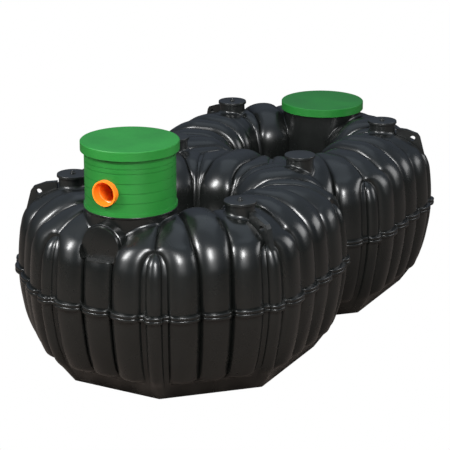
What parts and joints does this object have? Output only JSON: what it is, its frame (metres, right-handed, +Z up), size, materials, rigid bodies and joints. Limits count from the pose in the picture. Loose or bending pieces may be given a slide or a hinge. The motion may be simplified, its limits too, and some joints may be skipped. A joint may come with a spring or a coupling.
{
  "type": "septic tank",
  "caption": "Buried septic tank of two joined ribbed octagonal lobes in black plastic, with a green riser and lids, an orange inlet socket, capped stubs and lifting lugs.",
  "frame": {"origin": "middle of the base, on the level of the flat feet", "axes": "+X along the tank from the inlet end to the outlet end, +Y to its left, +Z up"},
  "size_m": [4.268, 2.336, 1.811],
  "materials": {
    "shell_plastic": "glossy black moulded polyethylene",
    "fitting_plastic": "satin black moulded polyethylene",
    "green_plastic": "satin green moulded polyethylene",
    "orange_plastic": "smooth orange drain plastic"
  },
  "bodies": {
    "tank": {"front_lower_shell": "shell_plastic", "rear_lower_shell": "shell_plastic", "front_upper_shell": "shell_plastic", "rear_upper_shell": "shell_plastic", "front_lower_flange": "shell_plastic", "rear_lower_flange": "shell_plastic", "front_upper_flange": "shell_plastic", "rear_upper_flange": "shell_plastic", "front_neck": "shell_plastic", "rear_neck": "shell_plastic", "riser": "green_plastic", "inlet_socket": "orange_plastic", "front_pad": "shell_plastic", "rear_pad": "shell_plastic", "front_left_stub": "fitting_plastic", "front_right_stub": "fitting_plastic", "rear_left_stub": "fitting_plastic", "rear_right_stub": "fitting_plastic", "front_left_cap": "fitting_plastic", "front_right_cap": "fitting_plastic", "rear_left_cap": "fitting_plastic", "rear_right_cap": "fitting_plastic", "waist_left_stub": "fitting_plastic", "waist_right_stub": "fitting_plastic", "waist_left_cap": "fitting_plastic", "waist_right_cap": "fitting_plastic", "front_left_lug": "fitting_plastic", "front_right_lug": "fitting_plastic", "rear_left_lug": "fitting_plastic", "rear_right_lug": "fitting_plastic"},
    "front_lid": {"front_lid": "green_plastic"},
    "rear_lid": {"rear_lid": "green_plastic"}
  },
  "joints": [
    {"name": "front_lid_lift", "type": "slide", "parent": "tank", "child": "front_lid", "axis": [0, 0, 1], "range_m": [0, 0.3]},
    {"name": "rear_lid_lift", "type": "slide", "parent": "tank", "child": "rear_lid", "axis": [0, 0, 1], "range_m": [0, 0.3]}
  ]
}
